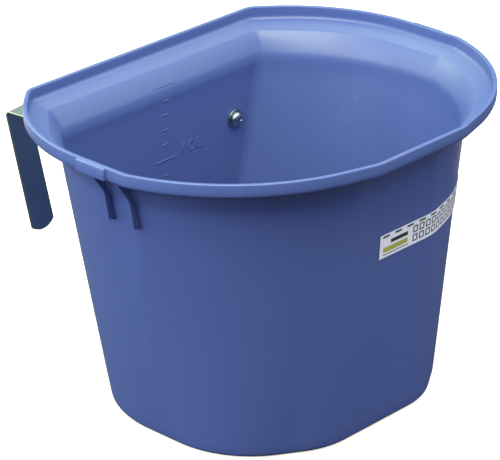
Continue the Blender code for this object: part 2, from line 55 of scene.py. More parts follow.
# %% [markdown]
# Two units turn up all through the script. Sizes of real things are easiest to read in millimetres, so
# `MM` turns them into metres. Colours are written as sRGB hex, the way a paint chart or a web page gives
# them, and one function turns them into the linear values that Blender's shaders work with.

# %% Units and colour
MM = 0.001


def linear(hex_colour):
    """Linear RGBA of an sRGB hex colour such as #3a4f9b."""
    channels = [int(hex_colour[i:i + 2], 16) / 255 for i in (1, 3, 5)]
    rgb = [c / 12.92 if c <= 0.04045 else ((c + 0.055) / 1.055) ** 2.4 for c in channels]
    return (*rgb, 1.0)


print("white is", linear("#ffffff"))

# %% [markdown]
# The camera comes first, because everything else is judged through it. The photograph was taken from the
# front left and above, with a long lens from about two and a half metres away. Its direction, distance and
# lens were worked out from the tub itself: the flat back and the mirror symmetry of the rim give the
# direction, and how much smaller the far side looks gives the distance.

# %% Camera
IMAGE_WIDTH, IMAGE_HEIGHT = 500, 460
FOCAL_PIXELS = 2922.6
OPTICAL_CENTRE = (249.1, 228.5)
CAMERA_PLACE = Vector((-1.6162, -1.4896, 1.1532))
CAMERA_AZIMUTH = math.radians(-46.935)
CAMERA_ELEVATION = math.radians(24.795)


def new_object(name, data):
    """Object with its data, put into the scene."""
    made = bpy.data.objects.new(name, data)
    bpy.context.scene.collection.objects.link(made)
    return made


camera = bpy.data.cameras.new("photo_camera")
camera.sensor_fit = "HORIZONTAL"
camera.sensor_width = 36.0
camera.lens = camera.sensor_width * FOCAL_PIXELS / IMAGE_WIDTH
camera.shift_x = (IMAGE_WIDTH / 2 - OPTICAL_CENTRE[0]) / IMAGE_WIDTH
camera.shift_y = (OPTICAL_CENTRE[1] - IMAGE_HEIGHT / 2) / IMAGE_WIDTH
camera_object = new_object("photo_camera", camera)
camera_object.location = CAMERA_PLACE
camera_object.rotation_euler = (math.pi / 2 - CAMERA_ELEVATION, 0.0, CAMERA_AZIMUTH)
bpy.context.scene.camera = camera_object
print(f"lens {camera.lens:.1f} mm, {CAMERA_PLACE.length:.2f} m from the tub's foot")

# %% [markdown]
# A material is a small network of nodes. One helper adds a node, sets its values and makes its links, so
# that each material below reads as a list of what it is made of. A value that is an output of another node
# becomes a link, and any other value is set on the socket. Two settings that many nodes share have names.
# The other helpers start a material, end it, and give it two colours mixed by noise, as no surface has one
# flat colour.

# %% Helpers for materials
RGBA = {"data_type": "RGBA"}
MULTIPLY = {"operation": "MULTIPLY"}


def add_node(tree, kind, settings=None, **values):
    """Adds a node, sets its properties from settings and its sockets from values, and links outputs."""
    node = tree.nodes.new(kind)
    for key, value in (settings or {}).items():
        setattr(node, key, value)
    for key, value in values.items():
        index = int(key[1:]) if key[1:].isdigit() else key.replace("_", " ")
        socket = node.inputs[index]
        if isinstance(value, bpy.types.NodeSocket):
            tree.links.new(value, socket)
        else:
            socket.default_value = value
    return node


def new_material(name):
    """Material with nothing but coordinates; returns the material, its tree and the coordinates."""
    material = bpy.data.materials.new(name)
    material.use_nodes = True
    tree = material.node_tree
    tree.nodes.clear()
    return material, tree, add_node(tree, "ShaderNodeTexCoord").outputs["Object"]


def surfaced(material, shader):
    """The material, with a shader as its surface."""
    add_node(material.node_tree, "ShaderNodeOutputMaterial", Surface=shader.outputs[0])
    return material


def clouded(tree, coords, size, first, second, **noise):
    """Noise of a real size, and the colour between two others that it gives."""
    amount = add_node(tree, "ShaderNodeTexNoise", Vector=coords, Scale=1 / size, **noise).outputs["Fac"]
    ends = {"_6": linear(first), "_7": linear(second)}
    return amount, add_node(tree, "ShaderNodeMix", RGBA, _0=amount, **ends).outputs[2]


# %% [markdown]
# ## Blue polypropylene, injection moulded
#
# Feed buckets are moulded in polypropylene, coloured right through. The steel mould leaves a satin skin: it
# is smooth enough to show soft reflections of the sky, and it scatters them a little, because the surface
# copies the fine texture of the mould. Four things break up the even look of a real one. The pigment is not
# perfectly mixed, so there are very faint broad clouds. Thick plastic shrinks unevenly as it cools, so wide
# walls have a slight waviness. Handling leaves fine scuffs that are paler than the plastic. And the mould's
# own grain blurs every reflection.

# %% Material of the tub
SCUFF_SPACING = 2.2 * MM
TEXTURE_GRAIN = 0.9 * MM
CLOUD_SIZE = 90 * MM
SINK_SIZE = 55 * MM
SCUFF_PATCH = 1000 / 22 * MM
SCUFF_STRENGTH = 0.4


def moulded_polypropylene():
    """Satin blue plastic with faint clouds, sink waves, fine scuffs and mould texture."""
    material, tree, coords = new_material("polypropylene_injection_moulded_blue")
    clouds, base = clouded(tree, coords, CLOUD_SIZE, "#404f8c", "#445391", Detail=3.0, Roughness=0.5)
    stretched = add_node(
        tree, "ShaderNodeMapping", Vector=coords, Scale=(1.0, 1.0, 0.22), Rotation=(0.35, 0.2, 0.0)
    ).outputs["Vector"]
    scratches = add_node(
        tree, "ShaderNodeTexNoise", Vector=stretched, Scale=1 / SCUFF_SPACING, Detail=2.0, Roughness=0.7
    ).outputs["Fac"]
    patches = add_node(
        tree, "ShaderNodeTexNoise", Vector=coords, Scale=1 / SCUFF_PATCH, Detail=2.0
    ).outputs["Fac"]
    fine = add_node(
        tree, "ShaderNodeMapRange", Value=scratches, From_Min=0.62, From_Max=0.80
    ).outputs["Result"]
    where = add_node(
        tree, "ShaderNodeMapRange", Value=patches, From_Min=0.50, From_Max=0.72
    ).outputs["Result"]
    scuffs = add_node(tree, "ShaderNodeMath", MULTIPLY, _0=fine, _1=where).outputs[0]
    scuffed = add_node(tree, "ShaderNodeMath", MULTIPLY, _0=scuffs, _1=SCUFF_STRENGTH).outputs[0]
    colour = add_node(tree, "ShaderNodeMix", RGBA, _0=scuffed, _6=base, _7=linear("#8b95b8")).outputs[2]
    grain = add_node(
        tree, "ShaderNodeTexNoise", Vector=coords, Scale=1 / TEXTURE_GRAIN, Detail=2.0
    ).outputs["Fac"]
    sink = add_node(tree, "ShaderNodeTexNoise", Vector=coords, Scale=1 / SINK_SIZE, Detail=0.0).outputs["Fac"]
    rough = add_node(tree, "ShaderNodeMapRange", Value=clouds, To_Min=0.35, To_Max=0.41).outputs["Result"]
    roughness = add_node(
        tree, "ShaderNodeMath", {"operation": "MULTIPLY_ADD"}, _0=scuffs, _1=0.2, _2=rough
    ).outputs[0]
    waves = add_node(tree, "ShaderNodeBump", Height=sink, Strength=0.35, Distance=1.0 * MM).outputs["Normal"]
    bump = add_node(
        tree, "ShaderNodeBump", Height=grain, Strength=0.06, Distance=0.2 * MM, Normal=waves
    ).outputs["Normal"]
    shader = add_node(
        tree, "ShaderNodeBsdfPrincipled", Base_Color=colour, Roughness=roughness, Normal=bump, IOR=1.49
    )
    return surfaced(material, shader)


plastic = moulded_polypropylene()
print("made", plastic.name)

# %% [markdown]
# ## The tub's shape
#
# Seen from above the tub is a polygon with rounded corners: a straight back, two sides, two slanting cheeks
# and a straight front. Seen from the side it is a lofted wall under a flared flange with an upright lip.
# Both are easiest to build as a stack of closed outlines. Each outline is the same short list of corners,
# moved and rounded a little differently, so any point of the skin can be computed at any fineness. The
# corners are given for the right-hand half, from back to front, as the distance from the middle, the
# distance forward of the back edge, and the length of straight side that the rounding takes up.

# %% Corner lists
tub_low, tub_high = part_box("tub")
TUB_HEIGHT = tub_high[2]
BACK_EDGE = tub_high[1]
RIM_DEPTH = tub_high[1] - tub_low[1]
PAD_PROUD = 2.5 * MM
RIM_HALF = tub_high[0] - PAD_PROUD

WALL = 3.0 * MM
FLOOR = 3.5 * MM
FLANGE_DROP = 41 * MM
FLANGE_ROOT = 2.4 * MM
LIP_HEIGHT = 11 * MM
LIP_DEPTH_INSIDE = 10.3 * MM
LIP_THICKNESS = 3.7 * MM
LIP_OUTER_ROUND = 1.1 * MM
LIP_INNER_ROUND = 0.9 * MM
LIP_FOOT_ROUND = (1.2 * MM, 4.2 * MM)
WALL_TOP = TUB_HEIGHT - FLANGE_DROP
LIP_ROOT = TUB_HEIGHT - LIP_DEPTH_INSIDE
FLANGE_BACK = 21.5 * MM
BACK_FACE = BACK_EDGE - FLANGE_BACK
WALL_HALF = RIM_HALF - 22.9 * MM
WALL_FRONT = RIM_DEPTH - 27.3 * MM

RIM = [
    (131.7 * MM, 0.0, 6 * MM),
    (RIM_HALF, 58.7 * MM, 71 * MM),
    (RIM_HALF, 180.8 * MM, 3 * MM),
    (RIM_HALF - 29.1 * MM, RIM_DEPTH - 34.7 * MM, 95 * MM),
    (50.8 * MM, RIM_DEPTH, 6 * MM),
]
WALL_HEAD = [
    (120 * MM, FLANGE_BACK, 8 * MM),
    (WALL_HALF, 96 * MM, 46 * MM),
    (WALL_HALF, 171.6 * MM, 5 * MM),
    (WALL_HALF - 29.1 * MM, WALL_FRONT - 22.9 * MM, 86.5 * MM),
    (47.2 * MM, WALL_FRONT, 6 * MM),
]
WALL_FOOT = [
    (72 * MM, FLANGE_BACK, 6 * MM),
    (136.5 * MM, 102.3 * MM, 35.5 * MM),
    (136.5 * MM, 150 * MM, 6 * MM),
    (136.5 * MM, 220.5 * MM, 46.8 * MM),
    (60.5 * MM, 269 * MM, 20.5 * MM),
]
print(f"rim {2000 * RIM_HALF:.0f} by {1000 * RIM_DEPTH:.0f} mm, {1000 * TUB_HEIGHT:.0f} mm high")

# %% [markdown]
# A rounding between two straight sides is a conic arc. With three points and one weight it can be worked
# out at any step, and for equal side lengths it is an exact circle. When an outline shrinks, each rounding
# gets shorter too, so that the wall keeps its thickness round the corners. The outline below lists one half
# and mirrors it.

# %% Outlines
ARC_STEPS = (6, 18, 4, 22, 6)
SIDE_STEPS = 3


def mix_plans(first, second, share):
    """Corner list between two others."""
    return [tuple(a + (b - a) * share for a, b in zip(p, q)) for p, q in zip(first, second)]


def shrink_plan(plan, distance):
    """Corner list moved inward by a distance, with its roundings to match."""
    line = [Vector((-plan[0][0], plan[0][1]))]
    line += [Vector(corner[:2]) for corner in plan]
    line += [Vector((-plan[-1][0], plan[-1][1]))]
    moved = []
    for before, here, after, corner in zip(line, line[1:], line[2:], plan):
        into = (here - before).normalized()
        away = (after - here).normalized()
        normals = Vector((-into.y - away.y, into.x + away.x))
        place = here + normals * distance / (1 + into.dot(away))
        shorter = distance * math.tan(into.angle(away) / 2)
        moved.append((place.x, place.y, corner[2] ** 2 / (corner[2] + shorter)))
    return moved


def between(first, last):
    """Points inside a straight side, as (x, y)."""
    return [Vector(first).lerp(Vector(last), k / SIDE_STEPS)[:] for k in range(1, SIDE_STEPS)]


def outline(plan):
    """Closed outline as (x, y) points, starting at the middle of the back."""
    corners = [Vector(corner[:2]) for corner in plan]
    chain = [Vector((-corners[0].x, corners[0].y))] + corners
    chain += [Vector((-corners[-1].x, corners[-1].y))]
    half = [(0.0, corners[0].y)]
    for i, (_, _, length) in enumerate(plan):
        before, here, after = chain[i:i + 3]
        start = here + (before - here).normalized() * length
        end = here + (after - here).normalized() * length
        weight = math.cos((here - before).angle(after - here) / 2)
        half += between(half[-1], start)
        for k in range(ARC_STEPS[i] + 1):
            t = k / ARC_STEPS[i]
            a, b, c = (1 - t) ** 2, 2 * t * (1 - t) * weight, t ** 2
            half.append(((start * a + here * b + end * c) / (a + b + c))[:])
    half += between(half[-1], (0.0, corners[-1].y))
    half.append((0.0, corners[-1].y))
    other = [(-x, y) for x, y in half[-2:0:-1]]
    return [(x, BACK_EDGE - y) for x, y in half + other]


def wall_plan(z):
    """Corner list of the wall's outer face at a height."""
    return mix_plans(WALL_HEAD, WALL_FOOT, 1 - z / WALL_TOP)


print("points round one outline:", len(outline(RIM)))

# %% [markdown]
# ## The section through flange and lip
#
# Now the stack. From the middle of the underside the section runs out to a small rounded edge, up the wall,
# out along the underside of the flange, round the upright lip and back down the inside. The flange is a
# gentle slope at first. At a crease line it turns down steeply and rolls into the wall. Inside, the wall is
# a little thicker just under the flange, so that the roll ends softly. Close outlines where the section
# turns sharply and wide ones where it is straight keep the mesh light.

# %% Sections
FLANGE_CURVE = [
    (0.030, 0.008), (0.080, 0.023), (0.140, 0.042), (0.200, 0.062), (0.300, 0.096), (0.400, 0.130),
    (0.500, 0.164), (0.560, 0.186), (0.578, 0.197), (0.590, 0.210), (0.605, 0.227), (0.620, 0.243),
    (0.660, 0.287), (0.700, 0.335), (0.750, 0.405), (0.800, 0.480), (0.845, 0.553), (0.890, 0.630),
    (0.920, 0.685), (0.950, 0.745), (0.968, 0.800), (0.983, 0.865), (0.993, 0.930),
]
LIP_STRAIGHT_TO = 5 * MM
LIP_FILLET = [
    (0.0, 2.7 * MM), (0.07 * MM, 1.9 * MM), (0.22 * MM, 1.2 * MM), (0.50 * MM, 0.55 * MM),
    (0.95 * MM, -0.05 * MM), (1.55 * MM, -0.50 * MM), (2.30 * MM, -0.88 * MM),
]
WALL_ROWS = 24
ROOT_THICKER = 0.8 * MM
ROOT_BLEND = 16 * MM
ROOT_ROWS = 6
FOOT_ROUND = 4 * MM
FLOOR_ROUND = 6 * MM


def quarter(steps):
    """Pairs (sine, 1 - cosine) for a quarter turn, for rounded edges."""
    angles = [math.pi / 2 * k / steps for k in range(steps + 1)]
    return [(math.sin(a), 1 - math.cos(a)) for a in angles]


def flange_rows(lip, wall, root):
    """Outlines of one face of the flange, from the lip down to the wall."""
    rows = [(mix_plans(lip, wall, share), root - (root - WALL_TOP) * fall) for share, fall in FLANGE_CURVE]
    return rows + [(wall, WALL_TOP)]


def outside_rows():
    """Outlines of the outside, from the underside up to the foot of the lip."""
    rows = []
    for out, up in quarter(6):
        z = FOOT_ROUND * up
        rows.append((shrink_plan(wall_plan(z), FOOT_ROUND * (1 - out)), z))
    for k in range(1, WALL_ROWS):
        z = FOOT_ROUND + (WALL_TOP - FOOT_ROUND) * k / WALL_ROWS
        rows.append((wall_plan(z), z))
    lip_in = shrink_plan(RIM, LIP_THICKNESS)
    return rows + flange_rows(lip_in, WALL_HEAD, LIP_ROOT - FLANGE_ROOT)[::-1]


def lip_rows():
    """Outlines round the lip, from its foot over its top and down to the flange inside."""
    foot = TUB_HEIGHT - LIP_HEIGHT
    rows = []
    for out, up in quarter(7):
        rows.append((shrink_plan(RIM, LIP_FOOT_ROUND[0] * (1 - out)), foot + LIP_FOOT_ROUND[1] * up))
    for out, up in reversed(quarter(5)):
        rows.append((shrink_plan(RIM, LIP_OUTER_ROUND * (1 - out)), TUB_HEIGHT - LIP_OUTER_ROUND * up))
    for out, up in quarter(5)[1:]:
        inset = LIP_THICKNESS - LIP_INNER_ROUND * (1 - out)
        rows.append((shrink_plan(RIM, inset), TUB_HEIGHT - LIP_INNER_ROUND * up))
    lip_in = shrink_plan(RIM, LIP_THICKNESS)
    rows.append((lip_in, LIP_ROOT + LIP_STRAIGHT_TO))
    for inset, rise in LIP_FILLET:
        rows.append((shrink_plan(RIM, LIP_THICKNESS + inset), LIP_ROOT + rise))
    return rows


def inside_rows():
    """Outlines of the inside, from the lip down over the flange and the wall to the floor."""
    root = shrink_plan(WALL_HEAD, WALL + ROOT_THICKER)
    rows = flange_rows(shrink_plan(RIM, LIP_THICKNESS), root, LIP_ROOT)[2:]
    for k in range(1, ROOT_ROWS):
        z = WALL_TOP - ROOT_BLEND * k / ROOT_ROWS
        rows.append((shrink_plan(wall_plan(z), WALL + ROOT_THICKER * (1 - k / ROOT_ROWS) ** 2), z))
    high = WALL_TOP - ROOT_BLEND
    low = FLOOR + FLOOR_ROUND
    for k in range(WALL_ROWS + 1):
        z = high - (high - low) * k / WALL_ROWS
        rows.append((shrink_plan(wall_plan(z), WALL), z))
    for out, up in quarter(6)[1:]:
        z = low - FLOOR_ROUND * out
        rows.append((shrink_plan(wall_plan(z), WALL + FLOOR_ROUND * up), z))
    return rows


print("outlines in the stack:", len(outside_rows() + lip_rows() + inside_rows()))

# %% [markdown]
# Most pieces are built the same way: rings of points joined by four-sided faces. These helpers bridge two
# rings or a whole stack, make a mesh object from a bmesh, and finish a piece: it rides on its body, stands
# in for its plain solid, and takes its finish.

# %% Helpers for meshes
SMOOTH_UP_TO = math.radians(32)


def bridge(bm, lower, upper, closed=True):
    """Faces between two rows of vertices."""
    count = len(lower)
    for i in range(count if closed else count - 1):
        j = (i + 1) % count
        bm.faces.new((lower[i], lower[j], upper[j], upper[i]))


def skin(bm, rings, ends=True):
    """Faces over a stack of rings, which ends in two flat faces or leads back to its first ring."""
    for lower, upper in zip(rings, rings[1:]):
        bridge(bm, lower, upper)
    if ends:
        bm.faces.new(rings[0])
        bm.faces.new(rings[-1])
    else:
        bridge(bm, rings[-1], rings[0])


def slab(bm, front, back):
    """Faces of a thin closed sheet between two grids of vertices."""
    for grid in (front, back):
        for lower, upper in zip(grid, grid[1:]):
            bridge(bm, lower, upper, closed=False)
    for k in (0, -1):
        bridge(bm, [row[k] for row in front], [row[k] for row in back], closed=False)
        bridge(bm, front[k], back[k], closed=False)


def shade_smooth(mesh, up_to=SMOOTH_UP_TO):
    """Smooth shading, except where faces meet at more than an angle."""
    mesh.shade_smooth()
    mesh.set_sharp_from_angle(angle=up_to)


def mesh_object(name, bm, sharp=SMOOTH_UP_TO):
    """Object from a bmesh, with smooth shading."""
    bmesh.ops.recalc_face_normals(bm, faces=bm.faces)
    mesh = bpy.data.meshes.new(name)
    bm.to_mesh(mesh)
    bm.free()
    shade_smooth(mesh, sharp)
    return new_object(name, mesh)


def evaluated_mesh(piece):
    """New mesh of a piece as its modifiers or its text give it."""
    graph = bpy.context.evaluated_depsgraph_get()
    return bpy.data.meshes.new_from_object(piece.evaluated_get(graph))


def apply_modifiers(piece):
    """Makes what the modifiers give the mesh itself."""
    mesh = evaluated_mesh(piece)
    piece.modifiers.clear()
    old = piece.data
    piece.data = mesh
    bpy.data.meshes.remove(old)


def bevel(piece, width, segments=3, angle=40):
    """Rounds the edges of a piece that are sharper than an angle."""
    modifier = piece.modifiers.new("rounded edges", "BEVEL")
    modifier.width = width
    modifier.segments = segments
    modifier.limit_method = "ANGLE"
    modifier.angle_limit = math.radians(angle)
    modifier.harden_normals = True
    apply_modifiers(piece)


def combine(piece, tool, operation):
    """Joins a tool to a piece or cuts it away, then removes the tool."""
    modifier = piece.modifiers.new("combine", "BOOLEAN")
    modifier.operation = operation
    modifier.solver = "EXACT"
    modifier.object = tool
    apply_modifiers(piece)
    bpy.data.objects.remove(tool, do_unlink=True)


def settle(piece, body, nodes, material):
    """Puts a finished piece on its body, in place of its plain solids, with its material."""
    piece.data.materials.clear()
    piece.data.materials.append(material)
    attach(piece, body)
    if nodes:
        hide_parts(*nodes)
    print(f"{piece.name}: {len(piece.data.polygons)} faces")


# %% [markdown]
# With the sections and helpers in place, the plain skin of the tub is one stack of outlines.

# %% Tub skin
bm = bmesh.new()
stack = outside_rows() + lip_rows() + inside_rows()
skin(bm, [[bm.verts.new((x, y, z)) for x, y in outline(plan)] for plan, z in stack])
tub = mesh_object("tub_skin", bm)
print("skin faces:", len(tub.data.polygons))

# %% [markdown]
# ## Pads and ribs
#
# On each side the lip is thickened by a flat pad, and two thin gussets under it run down the wall. They
# stiffen the place where a hand lifts the full bucket. A pad is a block with rounded edges. A rib is a flat
# outline, given a thickness. Each is joined to the skin with a Boolean, because a moulded part is one piece
# and the joint should show no gap.

# %% Pads and ribs
PAD_LENGTH = 31.5 * MM
PAD_FORWARD = 145.9 * MM
PAD_ABOVE_FOOT = 0.3 * MM
PAD_BELOW_TOP = 0.8 * MM
PAD_EDGE = 0.7 * MM
RIB_THICKNESS = 2.0 * MM
RIB_PLACES = (143.95 * MM, 171.45 * MM)
RIB_PROUD = 7.4 * MM
RIB_FOOT = TUB_HEIGHT - 57.6 * MM
RIB_TURN = TUB_HEIGHT - 29 * MM
RIB_TURN_ROUND = 5 * MM
RIB_TURN_STEPS = 8
RIB_TIP_INSET = 1.4 * MM
RIB_FOOT_RISE = 3 * MM
RIB_EDGE = 0.45 * MM


def box_mesh(low, high):
    """Box between two corners, as a bmesh."""
    bm = bmesh.new()
    middle = (Vector(low) + Vector(high)) / 2
    size = Vector(high) - Vector(low)
    bmesh.ops.create_cube(bm, size=1.0, matrix=Matrix.Translation(middle) @ Matrix.Diagonal((*size, 1.0)))
    return bm


def rib_line():
    """Points of a rib's edge as (x, z), for the right-hand side."""
    foot_x = wall_plan(RIB_FOOT)[1][0]
    lean = (WALL_HALF - foot_x) / (WALL_TOP - RIB_FOOT)
    foot = Vector((foot_x + RIB_PROUD, RIB_FOOT + RIB_FOOT_RISE))
    turn = Vector((foot.x + lean * (RIB_TURN - foot.y), RIB_TURN))
    tip = Vector((RIM_HALF - RIB_TIP_INSET, TUB_HEIGHT - LIP_HEIGHT - RIB_TIP_INSET))
    line = [Vector((foot_x - WALL / 2, RIB_FOOT)), foot]
    start = turn + (foot - turn).normalized() * RIB_TURN_ROUND
    end = turn + (tip - turn).normalized() * RIB_TURN_ROUND
    for k in range(RIB_TURN_STEPS + 1):
        t = k / RIB_TURN_STEPS
        line.append(start * (1 - t) ** 2 + turn * 2 * t * (1 - t) + end * t ** 2)
    line += [tip, tip + Vector((0.0, 2 * RIB_TIP_INSET))]
    root_x = RIM_HALF - LIP_THICKNESS
    line.append(Vector((root_x, TUB_HEIGHT - LIP_HEIGHT + RIB_TIP_INSET)))
    share, fall = FLANGE_CURVE[6]
    root = LIP_ROOT - FLANGE_ROOT
    line.append(Vector((root_x + (WALL_HALF - root_x) * share, root - (root - WALL_TOP) * fall + WALL / 2)))
    line.append(Vector((WALL_HALF - WALL / 2, WALL_TOP)))
    return line


for side in (-1, 1):
    inner, outer = side * (RIM_HALF - LIP_THICKNESS / 2), side * (RIM_HALF + PAD_PROUD)
    y = BACK_EDGE - PAD_FORWARD
    bm = box_mesh(
        (min(inner, outer), y - PAD_LENGTH / 2, TUB_HEIGHT - LIP_HEIGHT + PAD_ABOVE_FOOT),
        (max(inner, outer), y + PAD_LENGTH / 2, TUB_HEIGHT - PAD_BELOW_TOP),
    )
    pad = mesh_object("pad", bm)
    bevel(pad, PAD_EDGE)
    combine(tub, pad, "UNION")
    for forward in RIB_PLACES:
        bm = bmesh.new()
        faces = []
        for y in (BACK_EDGE - forward - RIB_THICKNESS / 2, BACK_EDGE - forward + RIB_THICKNESS / 2):
            faces.append([bm.verts.new((side * p.x, y, p.y)) for p in rib_line()])
        skin(bm, faces)
        rib = mesh_object("rib", bm)
        bevel(rib, RIB_EDGE, 2)
        combine(tub, rib, "UNION")
print("with pads and ribs:", len(tub.data.polygons))

# %% [markdown]
# ## Litre marks
#
# The inside of the back wall carries a scale of fine raised lines, cut into the mould where the water would
# stand at each litre. Their heights can be worked out instead of guessed: add up the area of each inside
# outline times the height to the next one, and note where the sum passes a whole litre. Every fifth line is
# long.

# %% Litre heights
LITRE = 0.001
LAST_LITRE = 15


def loop_area(points):
    """Area inside a closed line of points."""
    pairs = zip(points, points[1:] + points[:1])
    return abs(sum(x0 * y1 - x1 * y0 for (x0, y0), (x1, y1) in pairs)) / 2


def litre_places():
    """For each whole litre, the place (y, z) of its line on the back wall and the wall's slope there."""
    places = {}
    volume = 0.0
    rising = inside_rows()[::-1]
    for (low_plan, low_z), (high_plan, high_z) in zip(rising, rising[1:]):
        areas = loop_area(outline(low_plan)) + loop_area(outline(high_plan))
        before, volume = volume, volume + areas / 2 * (high_z - low_z)
        for litres in range(1, LAST_LITRE + 1):
            if before < litres * LITRE <= volume:
                share = (litres * LITRE - before) / (volume - before)
                low_y, high_y = BACK_EDGE - low_plan[0][1], BACK_EDGE - high_plan[0][1]
                slope = math.atan2(high_y - low_y, high_z - low_z)
                places[litres] = (low_y + (high_y - low_y) * share, low_z + (high_z - low_z) * share, slope)
    return places


marks = litre_places()
print({litres: round(1000 * place[1], 1) for litres, place in marks.items()})

# %% [markdown]
# Each line is a thin bar with rounded edges, sunk halfway into the wall. On the flange the wall leans, so
# the bar is turned to lie along it.

# %% Litre lines
MARK_PROUD = 0.5 * MM
MARK_WIDTH = 1.1 * MM
MARK_EDGE = 0.3 * MM
MARK_X = 3 * MM
LONG_MARK = 25 * MM
SHORT_MARK = 7.5 * MM

for litres, (y, z, slope) in marks.items():
    length = LONG_MARK if litres % 5 == 0 else SHORT_MARK
    bm = box_mesh((-length / 2, -MARK_PROUD, -MARK_WIDTH / 2), (length / 2, MARK_PROUD, MARK_WIDTH / 2))
    bmesh.ops.transform(bm, matrix=Matrix.Rotation(-slope, 4, "X"), verts=bm.verts)
    bmesh.ops.translate(bm, vec=(MARK_X, y, z), verts=bm.verts)
    line = mesh_object("litre_line", bm)
    bevel(line, MARK_EDGE, 2)
    combine(tub, line, "UNION")
print("with marks:", len(tub.data.polygons))

# %% [markdown]
# Beside the ten litre line stands its number, raised by less than half a millimetre. A text object gives
# the shapes of the digits. It is turned into a mesh, scaled to the measured height, and stood up against
# the wall.

# %% Numerals
NUMBERED_LITRE = 10
NUMERAL_HEIGHT = 10.5 * MM
NUMERAL_X = 23.5 * MM
NUMERAL_WIDTH = 26 * MM
NUMERAL_PROUD = 0.4 * MM
NUMERAL_DROP = 0.8 * MM

text = bpy.data.curves.new("litre_number", "FONT")
text.body = f"{NUMBERED_LITRE}L"
text.extrude = 0.03
text.bevel_depth = 0.012
text.bevel_resolution = 1
text.resolution_u = 6
source = new_object("litre_number", text)
mesh = evaluated_mesh(source)
bpy.data.objects.remove(source, do_unlink=True)
xs = [v.co.x for v in mesh.vertices]
ys = [v.co.y for v in mesh.vertices]
thickness = max(v.co.z for v in mesh.vertices)
for vertex in mesh.vertices:
    x, y, z = vertex.co
    across = (x - min(xs)) / (max(xs) - min(xs))
    upward = (y - min(ys)) / (max(ys) - min(ys))
    vertex.co = (
        NUMERAL_X + across * NUMERAL_WIDTH,
        marks[NUMBERED_LITRE][0] - z / thickness * NUMERAL_PROUD,
        marks[NUMBERED_LITRE][1] - NUMERAL_DROP + upward * NUMERAL_HEIGHT,
    )
mesh.update()
numerals = new_object("litre_numerals", mesh)
settle(numerals, "bucket", (), plastic)

# %% [markdown]
# Last, two holes go through the back wall for the screws, and the tub is done.

# %% Screw holes and finish of the tub
SCREW_INSET = 32.25 * MM
SCREW_X = WALL_HEAD[0][0] - SCREW_INSET
SCREW_Z = TUB_HEIGHT - 85.2 * MM
SCREW_RADIUS = 3.0 * MM
HOLE_RADIUS = 3.3 * MM
SIDES = (("left", -SCREW_X), ("right", SCREW_X))


def turns(steps):
    """Angles of a full turn in equal steps."""
    return [2 * math.pi * k / steps for k in range(steps)]


def ring_of(bm, y, radii):
    """Ring of points about the Y axis, one for each radius."""
    pairs = zip(turns(len(radii)), radii)
    return [bm.verts.new((radius * math.cos(a), y, radius * math.sin(a))) for a, radius in pairs]


def turned(name, profile, place, steps=48, ends=True):
    """Solid of revolution about a line along Y through a place, from (radius, y) points."""
    bm = bmesh.new()
    skin(bm, [ring_of(bm, y, [radius] * steps) for radius, y in profile], ends)
    bmesh.ops.transform(bm, matrix=Matrix.Translation(place), verts=bm.verts)
    return mesh_object(name, bm)


for _, x in SIDES:
    profile = [(HOLE_RADIUS, -2 * WALL), (HOLE_RADIUS, WALL)]
    combine(tub, turned("hole", profile, (x, BACK_FACE, SCREW_Z)), "DIFFERENCE")
shade_smooth(tub.data)
settle(tub, "bucket", ("tub",), plastic)

# %% [markdown]
# ## Zinc plated steel
#
# The hooks are cut from steel strip and plated. Zinc plating is a cool grey with a soft, slightly streaky
# reflection along the rolling direction, and it dulls where it has been handled. The screws, washers and
# nuts are bright zinc, plated in a barrel, so they shine more.

# %% Steel materials
STREAK_WIDTH = 1.2 * MM


def zinc_plated(name, pale, dark, smooth, dull, streak_length):
    """Plated steel whose colour and gloss vary in streaks along the strip."""
    material, tree, coords = new_material(name)
    along = add_node(
        tree, "ShaderNodeMapping", Vector=coords, Scale=(1.0, 1 / streak_length, 1 / streak_length)
    ).outputs["Vector"]
    streaks, colour = clouded(tree, along, STREAK_WIDTH, dark, pale, Detail=4.0, Roughness=0.6)
    roughness = add_node(
        tree, "ShaderNodeMapRange", Value=streaks, To_Min=dull, To_Max=smooth
    ).outputs["Result"]
    bump = add_node(
        tree, "ShaderNodeBump", Height=streaks, Strength=0.06, Distance=0.1 * MM
    ).outputs["Normal"]
    shader = add_node(
        tree, "ShaderNodeBsdfPrincipled", Base_Color=colour, Metallic=1.0, Roughness=roughness, Normal=bump
    )
    return surfaced(material, shader)


strip_steel = zinc_plated("steel_strip_zinc_plated_dull", "#a4acb8", "#858e9c", 0.28, 0.40, 12)
bright_zinc = zinc_plated("steel_fixing_zinc_plated_bright", "#a3aab8", "#8992a0", 0.27, 0.38, 1)

# %% [markdown]
# ## Hooks
#
# A hook is one strip, bent twice: up the back wall, over, and down the drop leg. The middle line of the
# strip is three straight lines with an arc at each bend. Walking along it and stepping out to both faces
# gives the strip. Both ends are cut to a shallow arc, so the end rows bulge in the middle. The real cut
# edges are broken, so the whole strip gets a small bevel. The left hook hangs a little turned on its screw.

# %% Hooks
STRIP_WIDTH = 25 * MM
STRIP_THICKNESS = 2.0 * MM
STRIP_EDGE = 0.35 * MM
HOLE_EDGE = 0.25 * MM
BEND_RADIUS = 3.0 * MM
BEND_STEPS = 12
FACE_GAP = 0.3 * MM
TOP_FALL = math.radians(3.8)
LEG_LEAN = math.radians(8.9)
LEG_LENGTH = 112.2 * MM
RISER_BELOW_SCREW = 15 * MM
END_BULGE = 5.4 * MM
LEFT_TURN = math.radians(-5.6)
OUTER_BEND = Vector((BACK_EDGE + 58.3 * MM, TUB_HEIGHT - 42.6 * MM))


